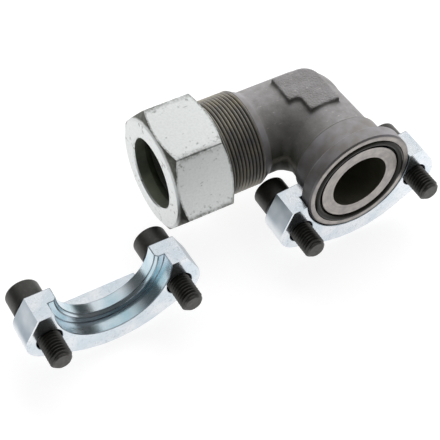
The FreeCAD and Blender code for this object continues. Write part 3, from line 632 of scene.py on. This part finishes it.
def cleaned(mesh):
    """Mesh with doubled points joined, flat faces dropped and normals set outwards."""
    doubled = 1e-7
    work = bmesh.new()
    work.from_mesh(mesh)
    bmesh.ops.remove_doubles(work, verts=work.verts, dist=doubled)
    bmesh.ops.dissolve_degenerate(work, edges=work.edges, dist=doubled)
    bmesh.ops.recalc_face_normals(work, faces=work.faces)
    work.to_mesh(mesh)
    work.free()
    return mesh


def joined(mesh, parts):
    """Mesh with others joined to it, each given with its material's number."""
    work = bmesh.new()
    work.from_mesh(mesh)
    for part, number in parts:
        first = len(work.faces)
        work.from_mesh(part)
        work.faces.ensure_lookup_table()
        for face in work.faces[first:]:
            face.material_index = number
    bmesh.ops.recalc_face_normals(work, faces=work.faces)
    work.to_mesh(mesh)
    work.free()
    return mesh


def turned_mesh(name, profile, steps):
    """Mesh of a profile of (along, radius) turned about the X axis."""
    rows = [[swung(*point, TURN * step / steps) for point in profile] for step in range(steps)]
    return cleaned(grid_mesh(name, rows, around=True))


def shade(mesh, crisp_from=math.radians(32)):
    """Smooth shading, with edges sharper than an angle kept crisp."""
    # Normals stored with the CAD mesh no longer fit faces that were joined, cut or dropped.
    stored = mesh.attributes.get("custom_normal")
    if stored:
        mesh.attributes.remove(stored)
    mesh.polygons.foreach_set("use_smooth", [True] * len(mesh.polygons))
    mesh.set_sharp_from_angle(angle=crisp_from)


def in_scene(name, data):
    """Object of that data, linked to the scene."""
    thing = bpy.data.objects.new(name, data)
    bpy.context.scene.collection.objects.link(thing)
    return thing


def new_piece(name, mesh, body, nodes, materials):
    """Piece that rides a body and stands for CAD nodes, with its materials."""
    piece = in_scene(name, mesh)
    for material in materials:
        mesh.materials.append(material)
    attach(piece, body)
    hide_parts(*nodes)
    return piece


def node_mesh(node):
    """Working copy of a CAD node's mesh with its split points joined."""
    work = bmesh.new()
    work.from_mesh(frame["nodes"][node].data)
    bmesh.ops.remove_doubles(work, verts=work.verts, dist=1e-6)
    return work


def settled(work, name):
    """Mesh of a working copy, which is freed."""
    mesh = bpy.data.meshes.new(name)
    work.to_mesh(mesh)
    work.free()
    return mesh


def edged_piece(node, body, materials, edge, finish=None):
    """Piece in a CAD node's own shape, its rounds shaded smooth and its sharp edges broken.

    The last material goes on the broken edges; finish gives a face's material by number.
    """
    work = node_mesh(node)
    bmesh.ops.dissolve_limit(work, angle_limit=math.radians(0.5), verts=work.verts, edges=work.edges)
    if finish:
        for face in work.faces:
            face.material_index = finish(face.calc_center_median(), face.normal)
    # A corner with edges shorter than the rounding stays as it is.
    sharp = math.radians(28)
    broken = [line for line in work.edges if line.is_manifold and line.calc_face_angle() > sharp
              and all(near.calc_length() > 0.75 * edge for end in line.verts for near in end.link_edges)]
    bmesh.ops.bevel(work, geom=broken, offset=edge, offset_type="OFFSET", segments=2, profile=0.5,
                    affect="EDGES", clamp_overlap=False, material=len(materials) - 1)
    mesh = settled(work, node + "_finished")
    shade(mesh, math.radians(24))
    piece = new_piece(node + "_finished", mesh, body, [node], materials)
    # Large flat faces stay flat in the light beside their rounds.
    piece.modifiers.new("flat_faces", "WEIGHTED_NORMAL").keep_sharp = True


def thread_depth(pitch):
    """Depth of a metric thread's groove."""
    return 0.6134 * pitch


def thread_mesh(name, sizes, start, end, limit, steps):
    """Mesh of a helical thread about the X axis from start to end, open at both ends.

    Limit gives the radius that nothing passes at a place along the axis. Steps is the number
    of rows in a turn.
    """
    pitch = sizes.pitch
    depth = thread_depth(pitch)
    # Crest, flank, rounded root, flank: shares of the pitch and of the depth.
    profile = ((0.0, 1.0), (0.125, 1.0), (0.42, 0.12), (0.49, 0.0), (0.635, 0.0), (0.705, 0.12))
    width = len(profile)
    # One turn more at each end, pressed flat against it.
    rows = int(((end - start) / pitch + 2) * steps) + 1
    points = []
    faces = []
    for row in range(rows):
        for share, rise in profile:
            along = min(max(start + pitch * (row / steps + share - 1), start), end)
            radius = min(sizes.thread - depth * (1 - rise), limit(along))
            points.append(swung(along, radius, TURN * row / steps))
        if row + 1 == rows:
            break
        here, after = row * width, (row + 1) * width
        for column in range(width - 1):
            faces.append((here + column, here + column + 1, after + column + 1, after + column))
        # The last flank meets the first crest of one turn later.
        if row + 1 + steps < rows:
            later = here + steps * width
            faces.append((after - 1, later, later + width, after + width - 1))
    mesh = bpy.data.meshes.new(name)
    mesh.from_pydata(points, [], faces)
    return cleaned(mesh)


def in_bores(point):
    """Whether a point of the elbow lies on the wall of one of its bores or drill points."""
    overrun = 6 * MM
    tip = overrun + BORE / math.tan(math.radians(59))
    from_tube = (math.hypot(point.y - CORNER_Y, point.z), point.x)
    from_port = (math.hypot(point.x, point.z), point.y - CORNER_Y)
    slack = 1.0 * MM
    return any(along < tip and distance < BORE * ramp(along, tip, overrun) + slack
               for distance, along in (from_tube, from_port))


def make_forging(sizes, material):
    """Forged middle: the CAD solid's skin, remeshed and smoothed so that its forms blend."""
    maker = in_scene("forging_block", settled(node_mesh("elbow_body"), "forging_block"))
    remesh = maker.modifiers.new("grain", "REMESH")
    remesh.mode = "VOXEL"
    remesh.voxel_size = sizes.grain
    smooth = maker.modifiers.new("blend", "SMOOTH")
    smooth.factor = 0.5
    smooth.iterations = sizes.blend
    graph = bpy.context.evaluated_depsgraph_get()
    skin = bpy.data.meshes.new_from_object(maker.evaluated_get(graph))
    bpy.data.objects.remove(maker)
    work = bmesh.new()
    work.from_mesh(skin)
    # The skin ends a little way under the neck and the run-out.
    lap = 1.5 * MM
    outside = []
    for face in work.faces:
        middle = face.calc_center_median()
        if middle.x < -sizes.fade - lap or middle.y < sizes.forged_from - lap or in_bores(middle):
            outside.append(face)
    bmesh.ops.delete(work, geom=outside, context="FACES")
    # Fold of the forging: a low ridge down the crook, where the dies met between the legs. It
    # fades towards the outer corner, the middle plane and the top.
    work.normal_update()
    for point in work.verts:
        off = (point.co.x - point.co.y + CORNER_Y) / math.sqrt(2)
        height = abs(point.co.z)
        inward = ramp(-point.co.x, 6 * MM, 12 * MM)
        between = ramp(height, 22.5 * MM, 19.5 * MM) * ramp(height, 11 * MM, 19 * MM)
        rise = sizes.fold * math.exp(-(off / sizes.fold_width) ** 2) * inward * between
        point.co += point.normal * rise
    work.to_mesh(skin)
    work.free()
    skin.name = "elbow_forging"
    shade(skin, math.radians(180))
    new_piece("elbow_forging", skin, "elbow", ["elbow_body"], [material])


def make_turned_ends(sizes, materials):
    """Neck, head, seal groove, bores and cone, taken from the CAD solid as they are."""
    faced, bored, grooved = 1, 2, 3
    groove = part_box("face_o_ring")[1].x + 0.1 * MM
    land = groove - sizes.groove
    hair = 0.02 * MM
    face_depth = 0.05 * MM
    groove_depth = 3 * MM
    work = node_mesh("elbow_body")
    drop = []
    for face in work.faces:
        middle = face.calc_center_median()
        from_port = math.hypot(middle.x, middle.z)
        from_tube = math.hypot(middle.y - CORNER_Y, middle.z)
        threaded = middle.x < -sizes.fade
        forged_skin = middle.x > -sizes.fade + hair and middle.y > sizes.forged_from + hair
        thread_skin = threaded and from_tube > sizes.forged - 0.1 * MM and abs(face.normal.x) < 0.98
        if in_bores(middle):
            face.material_index = bored
        elif forged_skin or thread_skin:
            drop.append(face)
        elif threaded and from_tube < sizes.forged:
            face.material_index = bored
        # The seal groove takes the nearly black material of grease and painted shade.
        elif land < from_port < groove and face_depth < middle.y < groove_depth:
            face.material_index = grooved
        elif middle.y < face_depth and face.normal.y < -0.99:
            face.material_index = faced
    bmesh.ops.delete(work, geom=drop, context="FACES")
    mesh = settled(work, "elbow_turned_ends")
    shade(mesh, math.radians(24))
    new_piece("elbow_turned_ends", mesh, "elbow", ["elbow_body"], materials)


def make_thread(sizes, materials):
    """Thread of the tube leg with its mouth chamfer and its conical run-out."""
    steps = 160
    turned = 1
    root = sizes.thread - thread_depth(sizes.pitch)

    def limit(along):
        return min(sizes.thread, sizes.thread - sizes.chamfer + (along + sizes.mouth))

    mesh = thread_mesh("elbow_thread", sizes, -sizes.mouth, -sizes.run, limit, steps)
    # Run-out: a shoulder from the root up to the crest, then the cone down to the forging.
    run_out = rounded([(-sizes.run - 0.6 * MM, root, 0.0), (-sizes.run, sizes.thread, 0.5 * MM),
                       (-sizes.fade, sizes.forged, 0.0)])
    joined(mesh, [(turned_mesh("run_out", run_out, steps), turned)])
    mesh.transform(Matrix.Translation((0.0, CORNER_Y, 0.0)))
    shade(mesh)
    new_piece("elbow_thread", mesh, "elbow", ["elbow_body"], materials)


class FLANGE_OT_elbow(bpy.types.Operator):
    """Forged elbow: soft forged middle, turned neck and head, cut thread"""
    bl_idname = "flange_elbow.elbow"
    bl_label = "Elbow"

    def execute(self, context):
        sizes = context.scene.elbow_sizes
        look = context.scene.finishes
        turned = turned_phosphated_steel(look)
        inside = [faced_steel(look), oiled_bore_steel(look), greased_shaded_groove_steel(look)]
        make_forging(sizes, forged_phosphated_steel(look))
        make_turned_ends(sizes, [turned, *inside])
        make_thread(sizes, [phosphated_thread_steel(look), turned])
        return {"FINISHED"}


def nut_angles(sizes):
    """Angles round the nut, closer together over the rounded corners."""
    bend = math.atan(sizes.corner * CHAMFER_SLOPE / (sizes.flats / 2))
    free = TURN / 6 - 2 * bend
    found = []
    for corner in range(6):
        middle = TURN * corner / 6
        found += [middle + bend * step / 3 for step in range(-3, 4)]
        found += [middle + bend + free * step / 18 for step in range(1, 18)]
    return found


def nut_reach(sizes, turned):
    """Distance from the axis to the hexagon's side or rounded corner."""
    off = off_corner(turned)
    apothem = sizes.flats / 2
    side = apothem / math.cos(TURN / 12 - off)
    centre = (apothem - sizes.corner) / math.cos(TURN / 12)
    inside = sizes.corner ** 2 - (centre * math.sin(off)) ** 2
    return side if inside <= 0 else min(side, centre * math.cos(off) + math.sqrt(inside))


class FLANGE_OT_nut(bpy.types.Operator):
    """Union nut: hexagon with turned chamfers, rounded corners and its inside"""
    bl_idname = "flange_elbow.nut"
    bl_label = "Union Nut"

    def execute(self, context):
        sizes = context.scene.nut_sizes
        thin_shaded, chamfered = 1, 2
        low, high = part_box("union_nut")
        depth = high.x - low.x
        rows = []
        for side in nut_angles(sizes):
            across = nut_reach(sizes, side)
            rise = (across - sizes.face) * CHAMFER_SLOPE
            edge = min(sizes.edge, 0.4 * rise)
            ring = rounded([
                (sizes.lip, sizes.bore, 0.3 * MM),
                (0.0, sizes.bore + sizes.lip, 0.2 * MM),
                (0.0, sizes.face, edge),
                (rise, across, edge),
                (depth - rise, across, edge),
                (depth, sizes.face, edge),
                (depth, sizes.thread + sizes.lead, 0.2 * MM),
                (depth - sizes.lead, sizes.thread, 0.2 * MM),
                (sizes.thread_start, sizes.thread, 0.1 * MM),
                (sizes.thread_start, sizes.cavity, 0.1 * MM),
                (sizes.seat_foot + sizes.cavity - sizes.bore, sizes.cavity, 0.4 * MM),
                (sizes.seat_foot, sizes.bore, 0.2 * MM),
            ], closed=True)
            rows.append([swung(*point, side + sizes.turned) for point in ring])
        mesh = cleaned(grid_mesh("union_nut_hexagon", rows, around=True, across=True))
        mesh.transform(Matrix.Translation((low.x, CORNER_Y, 0.0)))
        for face in mesh.polygons:
            from_tube = math.hypot(face.center.y - CORNER_Y, face.center.z)
            inside = low.x + sizes.lip < face.center.x < high.x - sizes.lead
            sloping = 0.3 < abs(face.normal.x) < 0.96
            # The nut's inside takes the darker zinc of painted shade.
            if inside and from_tube < sizes.thread + 0.5 * MM:
                face.material_index = thin_shaded
            # The chamfers take the material with dirt and the painted dark reflection.
            elif from_tube > sizes.face and sloping:
                face.material_index = chamfered
        shade(mesh)
        look = context.scene.finishes
        new_piece("union_nut_hexagon", mesh, "nut", ["union_nut"],
                  [matte_zinc(look), thin_shaded_zinc(look), turned_zinc_chamfer(look)])
        return {"FINISHED"}


class FLANGE_OT_halves(bpy.types.Operator):
    """Flange halves: the forged and machined clamps, with broken edges and bright zinc"""
    bl_idname = "flange_elbow.halves"
    bl_label = "Flange Halves"

    def execute(self, context):
        look = context.scene.finishes
        edges = context.scene.soft_edges
        milled, turned, forged = 0, 1, 2
        finishes = [bright_zinc(look), turned_zinc(look), forged_zinc(look), dull_shaded_zinc_edge(look)]
        low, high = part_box("loose_flange_half")
        halves = (("seated_flange_half", "seated_half", 0.0),
                  ("loose_flange_half", "loose_half", (low.x + high.x) / 2))
        for node, body, axis_x in halves:
            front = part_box(node)[0].y

            def finish(middle, normal):
                reach = math.hypot(middle.x - axis_x, middle.z)
                inward = (normal.x * (axis_x - middle.x) - normal.z * middle.z) / reach
                depth = middle.y - front
                in_recess = reach < edges.recess and 0.1 * MM < depth < edges.step
                in_bore = reach < edges.bore and depth > 0.1 * MM and inward > 0.6
                if in_recess or in_bore:
                    return turned
                return forged if abs(normal.y) < 0.5 and normal.z < 0.9 else milled

            edged_piece(node, body, finishes, edges.half, finish)
        return {"FINISHED"}


def screw_mesh(sizes):
    """Whole screw about the X axis: tip at -length, head from 0 to its height."""
    steps = 48
    black, worn = 0, 1
    end = -sizes.length
    root = sizes.thread - thread_depth(sizes.pitch)
    tip = sizes.thread - sizes.tip

    def limit(along):
        return min(sizes.thread, tip + (along - end))

    shank = rounded([(-sizes.plain - 0.4 * MM, root, 0.0), (-sizes.plain, sizes.shank, 0.2 * MM),
                     (-0.6 * MM, sizes.shank, 0.2 * MM), (0.0, sizes.shank + 0.6 * MM, 0.0)])
    mesh = joined(thread_mesh("cap_screw", sizes, end, -sizes.plain, limit, steps), [
        (turned_mesh("screw_end", [(end, 0.0), (end, tip)], steps), worn),
        (turned_mesh("screw_shank", shank, steps), black),
        (screw_head(sizes), black),
    ])
    # The end's chamfer is worn with it.
    for face in mesh.polygons:
        if face.center.x < end + 0.6 * sizes.tip and face.normal.x < -0.3:
            face.material_index = worn
    return mesh


def screw_head(sizes):
    """Head with a smooth side, rounded back edge and hexagon socket."""
    rows = []
    steps = 96
    depth = sizes.head_depth
    floor = depth - sizes.key_depth
    lead = sizes.key / 2 / math.cos(TURN / 12) + 0.25 * MM
    for step in range(steps):
        turned = TURN * step / steps
        socket = sizes.key / 2 / math.cos(off_corner(turned))
        profile = rounded([
            (0.0, sizes.shank + 0.5 * MM, 0.0),
            (0.0, sizes.head - 0.6 * MM, 0.3 * MM),
            (0.5 * MM, sizes.head, 0.3 * MM),
            (depth, sizes.head, sizes.head_edge),
            (depth, lead, 0.0),
            (depth - 0.45 * MM, socket, 0.0),
            (floor, socket, 0.0),
            (floor - 1.2 * MM, 0.0, 0.0),
        ])
        rows.append([swung(*point, turned) for point in profile])
    return cleaned(grid_mesh("screw_head", rows, around=True))


class FLANGE_OT_screws(bpy.types.Operator):
    """Cap screws with rolled threads, smooth heads and hexagon sockets, and their spring washers"""
    bl_idname = "flange_elbow.screws"
    bl_label = "Screws and Washers"

    # How far each screw's key is turned, in degrees.
    screws = {
        "seated_screw_left": ("seated_left", 11.0),
        "seated_screw_right": ("seated_right", -17.0),
        "loose_screw_left": ("loose_left", 23.0),
        "loose_screw_right": ("loose_right", -5.0),
    }
    washers = {
        "seated_washer_left": "seated_left",
        "seated_washer_right": "seated_washer",
        "loose_washer_left": "loose_left_washer",
        "loose_washer_right": "loose_right_washer",
    }

    def execute(self, context):
        sizes = context.scene.screw_sizes
        look = context.scene.finishes
        black = black_oxide_steel(look)
        worn = worn_screw_end(look)
        for node, (body, turned) in self.screws.items():
            low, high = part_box(node)
            mesh = screw_mesh(sizes)
            # The screw is drawn along +X with its bearing at 0; it stands along +Y.
            place = Vector(((low.x + high.x) / 2, low.y + sizes.length, (low.z + high.z) / 2))
            mesh.transform(Matrix.Translation(place) @ Matrix.Rotation(math.radians(turned), 4, "Y")
                           @ Matrix.Rotation(math.radians(90), 4, "Z"))
            shade(mesh)
            new_piece(node + "_threaded", mesh, body, [node], [black, worn])
        for node, body in self.washers.items():
            edged_piece(node, body, [black], context.scene.soft_edges.washer)
        return {"FINISHED"}


class FLANGE_OT_seals(bpy.types.Operator):
    """Face seal and cutting ring"""
    bl_idname = "flange_elbow.seals"
    bl_label = "Seal and Cutting Ring"

    def execute(self, context):
        look = context.scene.finishes
        edged_piece("cutting_ring", "ring", [turned_ring_steel(look)],
                    context.scene.soft_edges.ring)
        low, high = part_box("face_o_ring")
        section = (high.y - low.y) / 2
        reach = (high.x - low.x) / 2 - section
        steps, section_steps = 192, 32
        rows = []
        for step in range(steps):
            turned = TURN * step / steps
            row = []
            for place in range(section_steps):
                swing = TURN * place / section_steps
                # Mould line: a faint ridge where the halves of the mould met.
                ridge = 0.04 * MM if place in (0, section_steps // 2) else 0.0
                radius = reach + (section + ridge) * math.cos(swing)
                row.append((radius * math.cos(turned), low.y + section + section * math.sin(swing),
                            radius * math.sin(turned)))
            rows.append(row)
        mesh = cleaned(grid_mesh("face_seal", rows, around=True, across=True))
        shade(mesh, math.radians(180))
        new_piece("face_seal", mesh, "elbow", ["face_o_ring"], [nitrile_rubber(look)])
        return {"FINISHED"}


def make_floor(look):
    """Flat pale floor at the object's lowest point."""
    ends = (-3.0, 3.0)
    mesh = grid_mesh("floor", [[(x, y, FLOOR_Z) for x in ends] for y in ends])
    floor = in_scene("floor", mesh)
    paper, place = new_material("matte_paper", 0.0, 0.9)
    # Paper grain of 0.6 mm, coarser than the real one.
    grain = add(paper, "TexNoise", (place, per(0.6)))
    # The paper's own glow lifts it to white for the eye and in reflections, and keeps the shadow.
    path = add(paper, "LightPath").outputs
    seen = add(paper, "Math", (path["Is Camera Ray"], path["Is Glossy Ray"]), "MAXIMUM")
    seen = add(paper, "Math", (seen, path["Is Transmission Ray"]), "MAXIMUM")
    glow = add(paper, "Math", (seen, 0.86), "MULTIPLY")
    mesh.materials.append(finished(paper, look.floor, (grain, 0.004),
                                   {"Emission Strength": glow, "Emission Color": (1.0, 1.0, 1.0)}))


def make_camera(settings):
    """Camera at the photograph's place and angle."""
    sight = Vector((math.cos(settings.dip) * math.cos(settings.azimuth),
                    math.cos(settings.dip) * math.sin(settings.azimuth),
                    -math.sin(settings.dip)))
    right = sight.cross(Vector((0, 0, 1))).normalized()
    level = Matrix((right, right.cross(sight), -sight)).transposed()
    turned = Matrix.Rotation(-settings.roll, 3, sight) @ level
    data = bpy.data.cameras.new("camera")
    data.sensor_width = 36.0
    data.lens = settings.lens
    data.clip_start = 0.01
    camera = in_scene("camera", data)
    camera.matrix_world = Matrix.Translation(settings.spot) @ turned.to_4x4()
    bpy.context.scene.camera = camera


def make_lamp(settings):
    """Square soft lamp behind on the right that looks at the object."""
    data = bpy.data.lights.new("key_lamp", "AREA")
    data.size = 1.4
    data.energy = settings.key_power
    lamp = in_scene("key_lamp", data)
    # Polished zinc would mirror the lamp as a hard white patch.
    lamp.visible_glossy = False
    spot = Vector((0.63, 0.77, 0.85))
    target = Vector((-0.05, 0.02, 0.0))
    turned = (target - spot).to_track_quat("-Z", "Y").to_matrix().to_4x4()
    lamp.matrix_world = Matrix.Translation(spot) @ turned


def make_sky(settings):
    """Soft light from above and behind that dims towards the horizon, as round a lit table."""
    world = bpy.data.worlds.new("soft_room")
    world.use_nodes = True
    world.node_tree.nodes.clear()
    brightest = Vector((0.4, 0.55, 0.75)).normalized()
    way = add(world, "TexCoord").outputs["Generated"]
    toward = add(world, "VectorMath", (way, brightest), "DOT_PRODUCT")
    level = add(world, "MapRange", (toward, 0.35, 0.85, settings.horizon, settings.sky),
                interpolation_type="SMOOTHSTEP")
    light = add(world, "Background", {"Color": (1.0, 1.0, 1.0), "Strength": level})
    add(world, "OutputWorld", {"Surface": light})
    bpy.context.scene.world = world


class FLANGE_OT_stage(bpy.types.Operator):
    """Pale floor, a soft lamp, the room's light and the camera"""
    bl_idname = "flange_elbow.stage"
    bl_label = "Stage"

    def execute(self, context):
        settings = context.scene.stage_settings
        make_floor(context.scene.finishes)
        make_camera(settings)
        make_lamp(settings)
        make_sky(settings)
        context.scene.view_settings.view_transform = "Standard"
        return {"FINISHED"}


class FLANGE_PT_panel(bpy.types.Panel):
    """Builds the pieces and lists their sizes and colours"""
    bl_idname = "FLANGE_PT_panel"
    bl_label = "Flange Elbow"
    bl_space_type = "VIEW_3D"
    bl_region_type = "UI"
    bl_category = "Flange Elbow"

    def draw(self, context):
        for operator in OPERATORS:
            self.layout.operator(operator.bl_idname)
        for name in GROUPS:
            box = self.layout.box()
            box.label(text=name.replace("_", " ").title())
            group = getattr(context.scene, name)
            for item in group.bl_rna.properties:
                if item.identifier not in ("rna_type", "name"):
                    box.prop(group, item.identifier)


OPERATORS = (FLANGE_OT_elbow, FLANGE_OT_nut, FLANGE_OT_halves, FLANGE_OT_screws, FLANGE_OT_seals,
             FLANGE_OT_stage)
GROUPS = {
    "elbow_sizes": ElbowSizes,
    "nut_sizes": NutSizes,
    "screw_sizes": ScrewSizes,
    "soft_edges": SoftEdges,
    "finishes": Finishes,
    "stage_settings": StageSettings,
}


def register():
    """Register the classes and hang the groups on the scene."""
    for name, group in GROUPS.items():
        bpy.utils.register_class(group)
        setattr(bpy.types.Scene, name, bpy.props.PointerProperty(type=group))
    for kind in (*OPERATORS, FLANGE_PT_panel):
        bpy.utils.register_class(kind)


def unregister():
    """Undo register."""
    for kind in (FLANGE_PT_panel, *OPERATORS):
        bpy.utils.unregister_class(kind)
    for name, group in GROUPS.items():
        delattr(bpy.types.Scene, name)
        bpy.utils.unregister_class(group)


def main():
    """Build every piece and the stage."""
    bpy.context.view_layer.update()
    register()
    bpy.ops.flange_elbow.elbow()
    bpy.ops.flange_elbow.nut()
    bpy.ops.flange_elbow.halves()
    bpy.ops.flange_elbow.screws()
    bpy.ops.flange_elbow.seals()
    bpy.ops.flange_elbow.stage()


if __name__ == "__main__":
    main()
